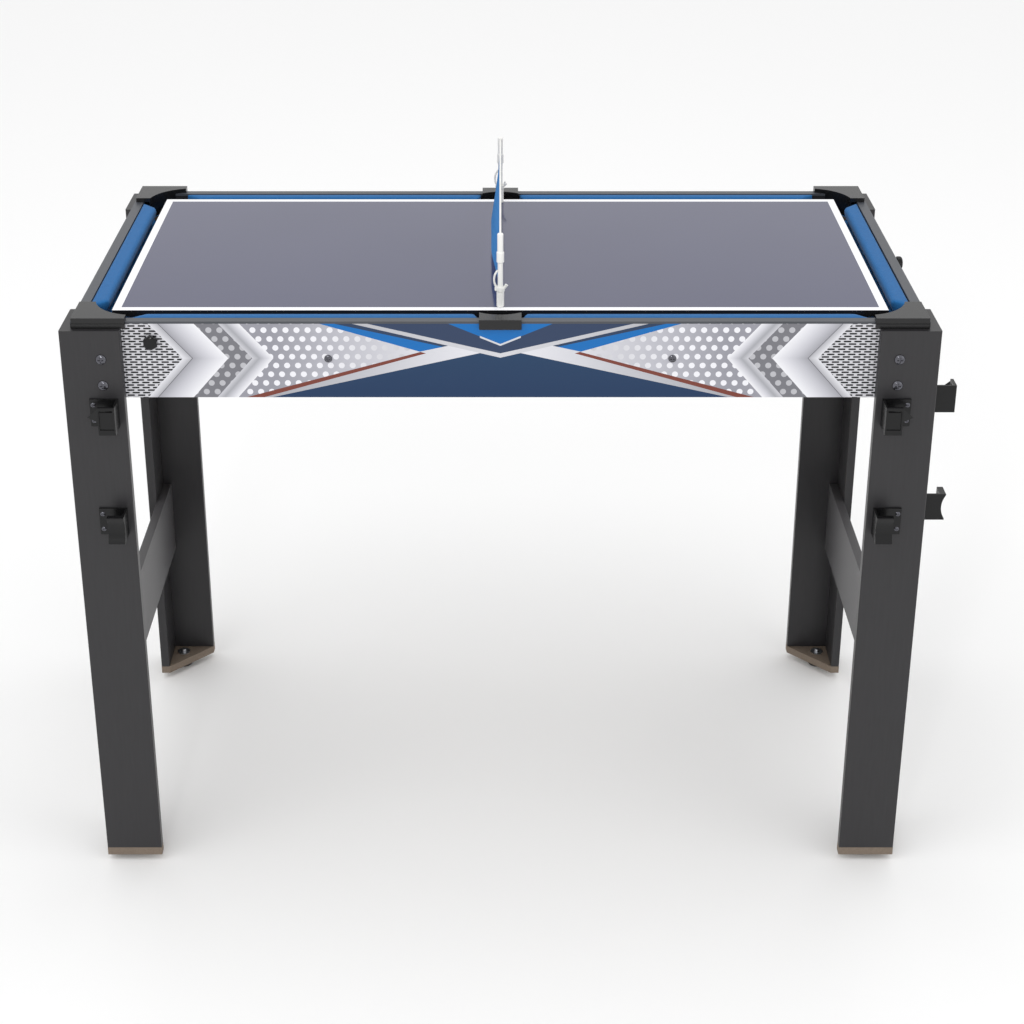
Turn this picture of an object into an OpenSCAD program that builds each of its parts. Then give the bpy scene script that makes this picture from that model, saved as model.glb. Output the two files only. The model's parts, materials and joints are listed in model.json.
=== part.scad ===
// Small games table set up for table tennis: a shallow cushioned cabinet on four
// L-shaped legs, a loose playing board lying inside the cushions, and a plug-in net.
// Millimetres, +Z up. +X runs along the table to its right-hand end, and -Y is the front
// long side. The origin is on the floor under the middle of the overall box, a little off
// the middle of the cabinet because the accessory clips stand out at the front and right.

/* [Table] */
// Length over the outer faces of the legs
table_length = 1118; // [1000:1:1250]
// Depth over the outer faces of the legs
table_depth = 559; // [500:1:620]
// Height of the tops of the legs above the floor
leg_top_height = 815; // [700:1:900]

/* [Legs] */
// Width of each leg board
leg_board_width = 77; // [60:1:90]
// Thickness of each leg board
leg_board_thickness = 13; // [12:0.5:18]
// Chamfer along the long edges of the leg boards
board_chamfer = 0.8; // [0.4:0.1:2]
// Thickness of the triangular foot plates
foot_plate_thickness = 12; // [9:1:18]
// Gap from the floor to the foot plates with the feet screwed right in
foot_gap = 10; // [9:0.5:20]
// Height of the stretcher boards
stretcher_height = 118; // [80:1:140]
// Drop from the leg tops to the top of the stretchers
stretcher_drop = 488; // [350:1:560]

/* [Cabinet] */
// Thickness of the aprons
apron_thickness = 13; // [12:0.5:18]
// Height of the aprons
apron_height = 102; // [80:1:120]
// Thickness of the rail strips on the aprons
rail_thickness = 3; // [2:0.5:6]
// Height of the rail tops above the leg tops
rail_rise = 8; // [6:0.5:12]
// Thickness of the bed board
bed_thickness = 9; // [6:0.5:12]
// Drop from the rail tops to the cloth on the bed
bed_drop = 26; // [22:1:32]
// Thickness of the bed cloth
cloth_thickness = 0.8; // [0.5:0.1:1.5]
// Width of the long cushions
long_cushion_width = 20; // [16:1:26]
// Width of the end cushions
end_cushion_width = 24; // [16:1:28]
// Height of the cushions
cushion_height = 20; // [14:1:24]

/* [Pockets] */
// Radius of the corner pocket mouths in the bed
corner_mouth_radius = 26; // [22:1:30]
// Radius of the side pocket mouths in the bed
side_mouth_radius = 24; // [20:1:26]
// Depth of the pocket cups below the bed
cup_depth = 42; // [30:1:50]
// Radius of the hollow edge of the corner caps
corner_arc_radius = 60; // [50:1:64]
// Width of the side pocket caps
side_cap_width = 54; // [44:1:64]

/* [Playing board] */
// Length of the loose playing board
board_length = 1000; // [900:1:1010]
// Depth of the loose playing board
board_depth = 454; // [420:1:460]
// Thickness of the loose playing board
board_thickness = 9; // [6:0.5:12]
// Width of the white border line
border_width = 12; // [8:1:16]
// Height of the net posts above the board
post_height = 100; // [80:1:130]
// Radius of the post spigots that plug into the board
spigot_radius = 2.95; // [2.9:0.01:2.98]

/* [Fittings] */
// Radius of the leg bolt shanks
bolt_radius = 3; // [2.5:0.5:4]
// Radius of the leg bolt heads
bolt_head_radius = 7; // [6:0.5:9]
// Radius of the two black knobs
knob_radius = 9.5; // [8:0.5:12]
// How far the accessory clips stand out of the legs
clip_reach = 31; // [24:1:36]

/* [Hidden] */

fine = 96;
half_l = table_length / 2;
half_d = table_depth / 2;
leg_z = foot_gap + foot_plate_thickness;
rail_z = leg_top_height + rail_rise;
apron_top = rail_z - rail_thickness;
apron_bottom = apron_top - apron_height;
// Outer and inner faces of the cabinet walls, measured from the middle
out_x = half_l - leg_board_thickness;
out_y = half_d - leg_board_thickness;
in_x = out_x - apron_thickness;
in_y = out_y - apron_thickness;
// Levels inside the cabinet
cloth_z = rail_z - bed_drop;
bed_z = cloth_z - cloth_thickness - bed_thickness;
board_top = rail_z;
board_z = board_top - board_thickness;
// Pocket centres and the circles that the cap edges follow
corner_mouth = [in_x - 40, in_y - 36.5];
corner_arc = [in_x - 69, in_y - 53.5];
side_mouth_y = in_y - side_mouth_radius - 3.5;
side_arc_radius = 50;
side_arc_y = in_y - 1.5 - side_arc_radius;
// Corner caps
cap_thickness = 6.5;
cap_top = rail_z + cap_thickness;
cap_out_x = out_x - 2;
cap_lip = 5.5;
cap_out_y = out_y + cap_lip;
cap_length_x = 68;
cap_length_y = 59;
cap_skirt = 2;
side_cap_thickness = 4;
// Cushion ends
corner_end_x = cap_out_x - cap_length_x;
corner_end_y = cap_out_y - cap_length_y;
corner_facing = 24;
side_facing = 7;
// Leg bolts go in pairs through every leg board
bolt_head_height = 3.6;
// Half of how much further the clips stand out than the bolt heads on the other side
off_middle = (clip_reach - bolt_head_height) / 2;
bolt_levels = [leg_top_height - 39, leg_top_height - 75];
face_bolt_x = half_l - 51;
side_bolt_y = half_d - 51;
bolt_grip = leg_board_thickness + apron_thickness;
washer_thickness = 1.6;
nut_thickness = 5;
// Feet
foot_inset = 30;
foot_stem_radius = 3.95;
tee_nut_radius = 5;
// Clips
clip_plate = [37, 3, 38];
clip_body_width = 22;
upper_clip_z = leg_top_height - 131;
lower_clip_z = leg_top_height - 288;
// Net
post_y = board_depth / 2 - 13;
net_half_span = post_y - 5;
net_sag = 8;
net_arc = (net_half_span * net_half_span + net_sag * net_sag) / (2 * net_sag);
net_bottom = board_top + 26.5;
tape_height = 12;
tape_bottom = board_top + post_height - 2 - tape_height;

// One board with its four long edges chamfered; it stands along Z.
module chamfered_board(size, height, c) {
    linear_extrude(height)
        polygon([
            [c, 0], [size[0] - c, 0], [size[0], c], [size[0], size[1] - c],
            [size[0] - c, size[1]], [c, size[1]], [0, size[1] - c], [0, c]
        ]);
}

// Puts the cabinet's middle where the overall box is centred on the origin.
module placed() {
    translate([-off_middle, off_middle, 0]) children();
}

// Copies to the corner that the two signs name: -1 is left or front, 1 is right or back.
module corner(sx, sy) {
    mirror([sx > 0 ? 1 : 0, 0, 0]) mirror([0, sy > 0 ? 1 : 0, 0]) children();
}

module all_corners() {
    for (sx = [-1, 1], sy = [-1, 1]) corner(sx, sy) children();
}

module both_sides() {
    for (sy = [-1, 1]) corner(-1, sy) children();
}

// ---- Cabinet walls ----

module bolt_hole_y(x, z) {
    translate([x, 0, z]) rotate([90, 0, 0])
        cylinder(h = 2 * half_d, r = bolt_radius, center = true, $fn = 32);
}

module bolt_hole_x(y, z) {
    translate([0, y, z]) rotate([0, 90, 0])
        cylinder(h = 2 * half_l, r = bolt_radius, center = true, $fn = 32);
}

// Long apron on the front, with its bolt holes; the knob's screw hole is on the left.
module long_apron(with_knob) {
    difference() {
        translate([-out_x, -out_y, apron_bottom])
            cube([2 * out_x, apron_thickness, apron_height]);
        for (x = [-face_bolt_x, face_bolt_x], z = bolt_levels) bolt_hole_y(x, z);
        for (x = [-apron_screw_x, apron_screw_x])
            translate([x, -out_y - 1, apron_screw_z]) rotate([-90, 0, 0])
                cylinder(h = apron_thickness, r = 2, $fn = 24);
        if (with_knob)
            translate([front_knob_x, -out_y - 1, front_knob_z]) rotate([-90, 0, 0])
                cylinder(h = apron_thickness + 2, r = knob_hole_radius, $fn = 32);
    }
}

module end_apron(with_knob) {
    difference() {
        translate([-out_x, -in_y, apron_bottom])
            cube([apron_thickness, 2 * in_y, apron_height]);
        for (y = [-side_bolt_y, side_bolt_y], z = bolt_levels) bolt_hole_x(y, z);
        if (with_knob)
            translate([-out_x - 1, end_knob_y, end_knob_z]) rotate([0, 90, 0])
                cylinder(h = apron_thickness + 2, r = knob_hole_radius, $fn = 32);
    }
}

apron_screw_x = 220;
apron_screw_z = leg_top_height - 43;
front_knob_x = -445;
front_knob_z = leg_top_height - 19;
end_knob_y = -24;
end_knob_z = leg_top_height - 2;
knob_hole_radius = 2.55;

module front_apron() { color("#39506b") placed() long_apron(true); }
module back_apron() { color("#39506b") placed() corner(-1, 1) long_apron(false); }
module left_apron() { color("#39506b") placed() end_apron(false); }
module right_apron() { color("#39506b") placed() corner(1, -1) end_apron(true); }

// Rail strips lie on the aprons; the long ones run the full length.
module long_rail() {
    translate([-out_x, -out_y, apron_top])
        cube([2 * out_x, apron_thickness, rail_thickness]);
}

module end_rail() {
    translate([-out_x, -in_y, apron_top])
        cube([apron_thickness, 2 * in_y, rail_thickness]);
}

module front_rail() { color("#5a5e66") placed() long_rail(); }
module back_rail() { color("#5a5e66") placed() corner(-1, 1) long_rail(); }
module left_rail() { color("#5a5e66") placed() end_rail(); }
module right_rail() { color("#5a5e66") placed() corner(1, -1) end_rail(); }

// ---- Cushions: rubber wedges under cloth, cut back at an angle beside each pocket ----

// Cross section: flat top flush with the rail, nose a little below it.
module cushion_profile(width) {
    nose = 5;
    polygon([
        [0, 0], [width - 6, 0], [width, cushion_height - nose - 3],
        [width, cushion_height - nose], [width - 1.5, cushion_height - 1.5],
        [width - 4, cushion_height], [0, cushion_height]
    ]);
}

// The plan outline that trims a cushion's two ends, from 0 to the given length.
module cushion_plan(length, width, start_facing, end_facing) {
    polygon([
        [0, 0], [length, 0], [length - end_facing, width], [start_facing, width]
    ]);
}

module cushion(length, width, start_facing, end_facing) {
    intersection() {
        rotate([90, 0, 90]) linear_extrude(length) cushion_profile(width);
        translate([0, 0, -1]) linear_extrude(cushion_height + 2)
            cushion_plan(length, width, start_facing, end_facing);
    }
}

module long_cushion() {
    length = corner_end_x - side_cap_width / 2;
    translate([-corner_end_x, -in_y, rail_z - cushion_height])
        cushion(length, long_cushion_width, corner_facing, side_facing);
}

module end_cushion() {
    translate([-in_x, corner_end_y, rail_z - cushion_height]) rotate([0, 0, -90])
        cushion(2 * corner_end_y, end_cushion_width, corner_facing, corner_facing);
}

module front_left_cushion() { color("#3071a7") placed() corner(-1, -1) long_cushion(); }
module front_right_cushion() { color("#3071a7") placed() corner(1, -1) long_cushion(); }
module back_left_cushion() { color("#3071a7") placed() corner(-1, 1) long_cushion(); }
module back_right_cushion() { color("#3071a7") placed() corner(1, 1) long_cushion(); }
module left_cushion() { color("#3071a7") placed() corner(-1, -1) end_cushion(); }
module right_cushion() { color("#3071a7") placed() corner(1, -1) end_cushion(); }

// ---- Pocket caps and cups ----

module arc_hole(centre, radius, z, height) {
    translate([centre[0], centre[1], z]) cylinder(h = height, r = radius, $fn = fine);
}

// Front left cap: a moulded corner with a lip over the leg and a skirt down to the bed.
module corner_cap() {
    x0 = -cap_out_x;
    y0 = -cap_out_y;
    difference() {
        union() {
            translate([x0, y0, rail_z]) cube([cap_length_x, cap_length_y, cap_thickness]);
            translate([x0, y0, leg_top_height])
                cube([cap_length_x, cap_lip, cap_top - leg_top_height]);
        }
        arc_hole(-corner_arc, corner_arc_radius, rail_z - 1, cap_thickness + 2);
    }
    intersection() {
        difference() {
            arc_hole(-corner_arc, corner_arc_radius + cap_skirt, cloth_z, bed_drop);
            arc_hole(-corner_arc, corner_arc_radius, cloth_z - 1, bed_drop + 2);
        }
        translate([-in_x, -in_y, cloth_z])
            cube([in_x - corner_end_x, in_y - corner_end_y, bed_drop]);
    }
}

module front_left_cap() { color("#3a3b3d") placed() corner(-1, -1) corner_cap(); }
module front_right_cap() { color("#3a3b3d") placed() corner(1, -1) corner_cap(); }
module back_left_cap() { color("#3a3b3d") placed() corner(-1, 1) corner_cap(); }
module back_right_cap() { color("#3a3b3d") placed() corner(1, 1) corner_cap(); }

// Side pocket cap: a flat bridge with a lip down the front of the apron and a skirt behind.
module side_cap() {
    y0 = -cap_out_y;
    difference() {
        union() {
            translate([-side_cap_width / 2, y0, rail_z])
                cube([side_cap_width, 28, side_cap_thickness]);
            translate([-side_cap_width / 2, y0, leg_top_height - 1.5])
                cube([side_cap_width, cap_lip, rail_rise + side_cap_thickness + 1.5]);
        }
        arc_hole([0, -side_arc_y], side_arc_radius, rail_z - 1, side_cap_thickness + 2);
    }
    intersection() {
        difference() {
            arc_hole([0, -side_arc_y], side_arc_radius + 1.5, cloth_z, bed_drop);
            arc_hole([0, -side_arc_y], side_arc_radius, cloth_z - 1, bed_drop + 2);
        }
        translate([-side_cap_width / 2, y0, cloth_z])
            cube([side_cap_width, 28, bed_drop]);
    }
}

module front_side_cap() { color("#3a3b3d") placed() corner(-1, -1) side_cap(); }
module back_side_cap() { color("#3a3b3d") placed() corner(-1, 1) side_cap(); }

// A drop pocket: a thin cup with a flange under the bed, open at the top.
module pocket_cup(radius) {
    wall = 1.5;
    rotate_extrude($fn = fine)
        polygon([
            [0, -cup_depth], [radius - 4, -cup_depth], [radius + wall, -cup_depth + 6],
            [radius + wall, -wall], [radius + 3, -wall], [radius + 3, 0],
            [radius, 0], [radius, -cup_depth + 7], [radius - 5, -cup_depth + wall],
            [0, -cup_depth + wall]
        ]);
}

module corner_pocket_cups() {
    color("#151516") placed() all_corners()
        translate([-corner_mouth[0], -corner_mouth[1], bed_z])
            pocket_cup(corner_mouth_radius);
}

module side_pocket_cups() {
    color("#151516") placed() both_sides()
        translate([0, -side_mouth_y, bed_z]) pocket_cup(side_mouth_radius);
}

// ---- Bed ----

module bed_sheet(z, thickness) {
    difference() {
        translate([-in_x, -in_y, z]) cube([2 * in_x, 2 * in_y, thickness]);
        all_corners()
            arc_hole(-corner_mouth, corner_mouth_radius, z - 1, thickness + 2);
        both_sides()
            arc_hole([0, -side_mouth_y], side_mouth_radius, z - 1, thickness + 2);
    }
}

module bed() { color("#a98d68") placed() bed_sheet(bed_z, bed_thickness); }
module bed_cloth() { color("#2a6aa3") placed() bed_sheet(cloth_z - cloth_thickness, cloth_thickness); }

// Ledges glued round the inside of the aprons carry the bed; blocks stiffen the corners.
module bed_ledges() {
    ledge = 16;
    long_from = 60;
    long_to = 440;
    end_half = 170;
    block = 16;
    block_height = 62;
    color("#c0a272") placed() {
        all_corners() translate([-long_to, -in_y, bed_z - ledge])
            cube([long_to - long_from, ledge, ledge]);
        for (s = [-1, 1]) corner(s, -1) translate([-in_x, -end_half, bed_z - ledge])
            cube([ledge, 2 * end_half, ledge]);
        all_corners() translate([-in_x, -in_y, apron_bottom + 3])
            linear_extrude(block_height) polygon([[0, 0], [block, 0], [0, block]]);
    }
}

// ---- Legs ----

// Face board: the wide board seen from the long sides. The blunt corner is outermost.
module face_board() {
    difference() {
        translate([-half_l, -half_d, leg_z])
            chamfered_board([leg_board_width, leg_board_thickness],
                leg_top_height - leg_z, board_chamfer);
        for (z = bolt_levels) bolt_hole_y(-face_bolt_x, z);
    }
}

// Side board: glued behind the face board to make the L, so the leg is as wide at the end.
module side_board() {
    difference() {
        translate([-half_l, -out_y, leg_z])
            chamfered_board([leg_board_thickness, leg_board_width - leg_board_thickness],
                leg_top_height - leg_z, board_chamfer);
        for (z = bolt_levels) bolt_hole_x(-side_bolt_y, z);
        for (z = stretcher_screw_levels) bolt_hole_x(-stretcher_screw_y, z);
    }
}

stretcher_z = leg_top_height - stretcher_drop - stretcher_height;
stretcher_screw_levels = [stretcher_z + 30, stretcher_z + stretcher_height - 30];
stretcher_screw_y = half_d - 45;

// Takes the clips' screw holes out of a front leg's face board.
module drilled_front() {
    difference() {
        children();
        at_front_clips() { clip_screw_holes(); clip_screw_holes(); }
    }
}

module front_left_face_board() {
    color("#434144") placed() drilled_front() corner(-1, -1) face_board();
}
module front_right_face_board() {
    color("#434144") placed() drilled_front() corner(1, -1) face_board();
}
module back_left_face_board() { color("#434144") placed() corner(-1, 1) face_board(); }
module back_right_face_board() { color("#434144") placed() corner(1, 1) face_board(); }
module front_left_side_board() { color("#434144") placed() corner(-1, -1) side_board(); }
module front_right_side_board() {
    color("#434144") placed() difference() {
        corner(1, -1) side_board();
        at_end_clips() { clip_screw_holes(); clip_screw_holes(); }
    }
}
module back_left_side_board() { color("#434144") placed() corner(-1, 1) side_board(); }
module back_right_side_board() { color("#434144") placed() corner(1, 1) side_board(); }

// Triangular plate under the L, with its two points cut off square to the boards.
module foot_plate() {
    t = leg_board_thickness;
    w = leg_board_width;
    difference() {
        translate([-half_l, -half_d, foot_gap]) linear_extrude(foot_plate_thickness)
            polygon([[0, 0], [w, 0], [w, t], [t, w], [0, w]]);
        translate([foot_inset - half_l, foot_inset - half_d, foot_gap - 1])
            cylinder(h = foot_plate_thickness + 2, r = tee_nut_radius, $fn = 48);
    }
}

module front_left_foot_plate() { color("#786c64") placed() corner(-1, -1) foot_plate(); }
module front_right_foot_plate() { color("#786c64") placed() corner(1, -1) foot_plate(); }
module back_left_foot_plate() { color("#786c64") placed() corner(-1, 1) foot_plate(); }
module back_right_foot_plate() { color("#786c64") placed() corner(1, 1) foot_plate(); }

module stretcher() {
    difference() {
        translate([-out_x, -out_y, stretcher_z])
            cube([leg_board_thickness, 2 * out_y, stretcher_height]);
        for (y = [-stretcher_screw_y, stretcher_screw_y], z = stretcher_screw_levels)
            translate([-out_x - 1, y, z]) rotate([0, 90, 0])
                cylinder(h = 11, r = wood_screw_radius, $fn = 24);
    }
}

wood_screw_radius = 2;

module left_stretcher() { color("#3f3d40") placed() corner(-1, -1) stretcher(); }
module right_stretcher() { color("#3f3d40") placed() corner(1, -1) stretcher(); }

// ---- Feet ----

// Levelling foot: a rubber-soled pad on a threaded stem that runs in the tee nut.
module levelling_foot() {
    pad_radius = 13;
    pad_height = foot_gap - 1.8;
    stem_top = foot_gap + foot_plate_thickness + 6;
    translate([foot_inset - half_l, foot_inset - half_d, 0])
        rotate_extrude($fn = 64)
            polygon([
                [0, 0], [pad_radius - 1, 0], [pad_radius, 1],
                [pad_radius, pad_height - 3], [pad_radius - 3, pad_height],
                [foot_stem_radius, pad_height], [foot_stem_radius, stem_top - 1],
                [foot_stem_radius - 1, stem_top], [0, stem_top]
            ]);
}

module front_left_foot() { color("#1c1c1d") placed() corner(-1, -1) levelling_foot(); }
module front_right_foot() { color("#1c1c1d") placed() corner(1, -1) levelling_foot(); }
module back_left_foot() { color("#1c1c1d") placed() corner(-1, 1) levelling_foot(); }
module back_right_foot() { color("#1c1c1d") placed() corner(1, 1) levelling_foot(); }

// Tee nuts are pressed into the foot plates from above.
module tee_nuts() {
    flange = 1.4;
    color("#b9bbbd") placed() all_corners()
        translate([foot_inset - half_l, foot_inset - half_d, foot_gap + 2])
            difference() {
                union() {
                    cylinder(h = foot_plate_thickness - 2, r = tee_nut_radius, $fn = 48);
                    translate([0, 0, foot_plate_thickness - 2])
                        cylinder(h = flange, r = 10, $fn = 48);
                }
                translate([0, 0, -1])
                    cylinder(h = foot_plate_thickness + 4, r = 4, $fn = 48);
            }
}

// ---- Bolts, washers, nuts and screws ----

// A pan head with its shank pointing along +Z from the seat at z = 0.
module pan_screw(shank_radius, head_radius, head_height, length) {
    rotate_extrude($fn = 48)
        polygon([
            [0, -head_height], [head_radius * 0.55, -head_height],
            [head_radius * 0.85, -head_height * 0.75], [head_radius, -head_height * 0.3],
            [head_radius, 0], [shank_radius, 0], [shank_radius, length], [0, length]
        ]);
}

// Places its children at every leg bolt, with +Z pointing into the cabinet.
module at_leg_bolts(depth) {
    for (z = bolt_levels) all_corners() {
        translate([-face_bolt_x, -half_d + depth, z]) rotate([-90, 0, 0]) children();
        translate([-half_l + depth, -side_bolt_y, z]) rotate([0, 90, 0]) children();
    }
}

module leg_bolts() {
    length = bolt_grip + washer_thickness + nut_thickness + 2;
    color("#2a2a2c") placed() at_leg_bolts(0)
        pan_screw(bolt_radius, bolt_head_radius, bolt_head_height, length);
}

module leg_washers() {
    color("#c2c4c6") placed() at_leg_bolts(bolt_grip) difference() {
        cylinder(h = washer_thickness, r = 7.5, $fn = 48);
        translate([0, 0, -1]) cylinder(h = washer_thickness + 2, r = bolt_radius, $fn = 32);
    }
}

module leg_nuts() {
    color("#c2c4c6") placed() at_leg_bolts(bolt_grip + washer_thickness) difference() {
        cylinder(h = nut_thickness, r = 5.8, $fn = 6);
        translate([0, 0, -1]) cylinder(h = nut_thickness + 2, r = bolt_radius, $fn = 32);
    }
}

module apron_screws() {
    color("#1e1e20") placed() both_sides() for (x = [-apron_screw_x, apron_screw_x])
        translate([x, -out_y, apron_screw_z]) rotate([-90, 0, 0])
            pan_screw(2, 5.2, 2.2, 12);
}

// Wood screws hold the stretchers to the side boards of the legs.
module wood_screws() {
    color("#2a2a2c") placed() all_corners() for (z = stretcher_screw_levels)
        translate([-half_l, -stretcher_screw_y, z]) rotate([0, 90, 0])
            pan_screw(bolt_radius, 5.5, 2.6, leg_board_thickness);
    color("#2a2a2c") placed() all_corners() for (z = stretcher_screw_levels)
        translate([-out_x, -stretcher_screw_y, z]) rotate([0, 90, 0])
            cylinder(h = 10, r = wood_screw_radius, $fn = 24);
}

// ---- Accessory clips on the front legs ----

// A clip stands out along -Y from a leg at y = 0, its plate rising from z = 0: a plate, one
// side wall and a front. One kind has a framed flat front with a barb at its free edge, the
// other a front hollowed from top to bottom.
module clip(hollowed) {
    plate_w = clip_plate[0];
    plate_t = clip_plate[1];
    plate_h = clip_plate[2];
    wall = 2.5;
    front = hollowed ? 8 : 4;
    front_x = plate_w - clip_body_width;
    hollow_radius = 32;
    hollow_depth = 5;
    difference() {
        union() {
            translate([0, -plate_t, 0]) cube(clip_plate);
            translate([plate_w - wall, -clip_reach, 0]) cube([wall, clip_reach, plate_h]);
            translate([front_x, -clip_reach, 0]) cube([clip_body_width, front, plate_h]);
            if (!hollowed)
                translate([front_x + 1, -clip_reach + 3, 0]) rotate([0, 0, -22])
                    rotate([90, 0, 0]) linear_extrude(2.5)
                        polygon([[0, 18], [0, 36.5], [-16, 22]]);
        }
        if (hollowed) {
            translate([-1, -clip_reach - hollow_radius + hollow_depth, plate_h / 2])
                rotate([0, 90, 0]) cylinder(h = plate_w + 2, r = hollow_radius, $fn = fine);
        } else {
            translate([front_x + 2, -clip_reach - 1, 7])
                cube([clip_body_width - 4, 2.5, plate_h - 12]);
            translate([front_x + 3, -clip_reach - 1, plate_h - 7])
                cube([clip_body_width - 6, front + 2, 3]);
        }
        for (z = clip_screw_levels) translate([clip_screw_x, -plate_t - 1, z])
            rotate([-90, 0, 0]) cylinder(h = plate_t + 2, r = clip_screw_radius, $fn = 24);
    }
}

clip_screw_radius = 1.6;
clip_screw_x = 4.5;
clip_screw_levels = [8, 30];
front_clip_x = -half_l + 32;
// The end clips stand on the outer face of the right-hand front leg.
end_clip_y = -half_d + 60;
end_clip_lift = 8;

module at_front_clips() {
    for (s = [-1, 1]) corner(s, -1) {
        translate([front_clip_x, -half_d, upper_clip_z]) children(0);
        translate([front_clip_x, -half_d, lower_clip_z]) children(1);
    }
}

module at_end_clips() {
    for (level = [0, 1])
        translate([half_l, end_clip_y, (level == 0 ? upper_clip_z : lower_clip_z) + end_clip_lift])
            rotate([0, 0, 90]) mirror([1, 0, 0]) children(level);
}

module front_clips() { color("#2b2c2d") placed() at_front_clips() { clip(false); clip(true); } }
module end_clips() { color("#2b2c2d") placed() at_end_clips() { clip(false); clip(true); } }

module clip_screw_holes() {
    for (z = clip_screw_levels) translate([clip_screw_x, -1, z])
        rotate([-90, 0, 0]) cylinder(h = 11, r = clip_screw_radius, $fn = 24);
}

module clip_screw_pair() {
    for (z = clip_screw_levels) translate([clip_screw_x, -clip_plate[1], z])
        rotate([-90, 0, 0]) pan_screw(clip_screw_radius, 3.4, 1.6, 12);
}

module clip_screws() {
    color("#38383a") placed() at_front_clips() { clip_screw_pair(); clip_screw_pair(); }
    color("#38383a") placed() at_end_clips() { clip_screw_pair(); clip_screw_pair(); }
}

// ---- Knobs ----

// A knob on its screw: six shallow grips round a domed cap, screw pointing along +Z.
module knob() {
    height = 10;
    screw_length = apron_thickness - 1;
    difference() {
        rotate_extrude($fn = 64)
            polygon([
                [0, -height], [knob_radius - 3, -height], [knob_radius - 1, -height + 1],
                [knob_radius, -height + 3], [knob_radius, -2.5], [5.5, -1], [5.5, -0.3],
                [knob_screw_radius, -0.3], [knob_screw_radius, screw_length],
                [0, screw_length]
            ]);
        for (a = [0 : 60 : 300]) rotate([0, 0, a]) translate([knob_radius + 3, 0, -height - 1])
            cylinder(h = height - 1, r = 4.4, $fn = 32);
    }
}

knob_screw_radius = 2.5;

module front_knob() {
    color("#1a1a1b") placed() translate([front_knob_x, -out_y, front_knob_z])
        rotate([-90, 0, 0]) knob();
}

module end_knob() {
    color("#1a1a1b") placed() translate([out_x, end_knob_y, end_knob_z])
        rotate([0, -90, 0]) knob();
}

// ---- Playing board and net ----

module playing_board() {
    color("#7d7e90") placed() difference() {
        translate([-board_length / 2, -board_depth / 2, board_z])
            cube([board_length, board_depth, board_thickness]);
        both_sides() translate([0, -post_y, board_top - 8])
            cylinder(h = 9, r = 3, $fn = 48);
    }
}

// Blocks glued under the board stand on the bed cloth and bring the board level.
module board_blocks() {
    block = [30, 30, board_z - cloth_z];
    color("#c0a272") placed() for (x = [-400, 0, 400], y = [-150, 150])
        translate([x - block[0] / 2, y - block[1] / 2, cloth_z]) cube(block);
}

// A post: spigot, base socket, stem, collar and sleeve, turned in one piece.
module net_posts() {
    color("#f0f0ee") placed() both_sides() translate([0, -post_y, board_top])
        rotate_extrude($fn = 64)
            polygon([
                [0, -7.5], [spigot_radius - 0.5, -7.5], [spigot_radius, -7],
                [spigot_radius, 0], [4.2, 0], [4.9, 1.5], [4.9, 20], [3.4, 21.5],
                [3.4, 60], [4.9, 61.5], [4.9, 74.5], [3.9, 75.5],
                [3.9, post_height - 1], [3, post_height], [0, post_height]
            ]);
}

// The net hangs between the posts and bows a little towards the left-hand end.
module net_mesh() {
    height = tape_bottom - net_bottom;
    thickness = 1;
    color("#4686bb") placed() intersection() {
        difference() {
            translate([net_arc - net_sag, 0, net_bottom])
                cylinder(h = height, r = net_arc + thickness / 2, $fn = 720);
            translate([net_arc - net_sag, 0, net_bottom - 1])
                cylinder(h = height + 2, r = net_arc - thickness / 2, $fn = 720);
        }
        translate([-net_sag - 5, -net_half_span, net_bottom - 1])
            cube([net_sag + 12, 2 * net_half_span, height + 2]);
    }
}

// The tape is stretched straight from sleeve to sleeve.
module net_tape() {
    thickness = 3;
    half_span = post_y - 3.95;
    color("#f4f4f2") placed() translate([-thickness / 2, -half_span, tape_bottom])
        cube([thickness, 2 * half_span, tape_height]);
}

// White ties: a ring knotted round the foot of each post, and a loop up to the net's edge.
module net_ties() {
    cord_radius = 1.1;
    loop_radius = 24.7;
    loop_turn = 31.8;
    color("#f4f4f2") placed() both_sides() translate([0, -post_y, board_top + 24.5]) {
        rotate_extrude($fn = 48) translate([4.5, 0]) circle(r = cord_radius, $fn = 24);
        translate([loop_radius - 9, 0, 13]) rotate([90, 0, 0])
            rotate([0, 0, 180 - loop_turn]) rotate_extrude(angle = 2 * loop_turn, $fn = 96)
                translate([loop_radius, 0]) circle(r = cord_radius, $fn = 24);
    }
}

front_apron();
back_apron();
left_apron();
right_apron();
front_rail();
back_rail();
left_rail();
right_rail();
front_left_cushion();
front_right_cushion();
back_left_cushion();
back_right_cushion();
left_cushion();
right_cushion();
front_left_cap();
front_right_cap();
back_left_cap();
back_right_cap();
front_side_cap();
back_side_cap();
corner_pocket_cups();
side_pocket_cups();
bed();
bed_cloth();
bed_ledges();
front_left_face_board();
front_right_face_board();
back_left_face_board();
back_right_face_board();
front_left_side_board();
front_right_side_board();
back_left_side_board();
back_right_side_board();
front_left_foot_plate();
front_right_foot_plate();
back_left_foot_plate();
back_right_foot_plate();
left_stretcher();
right_stretcher();
front_left_foot();
front_right_foot();
back_left_foot();
back_right_foot();
tee_nuts();
leg_bolts();
leg_washers();
leg_nuts();
apron_screws();
wood_screws();
clip_screws();
front_clips();
end_clips();
front_knob();
end_knob();
playing_board();
board_blocks();
net_posts();
net_mesh();
net_tape();
net_ties();
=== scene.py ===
import json
import math

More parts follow.
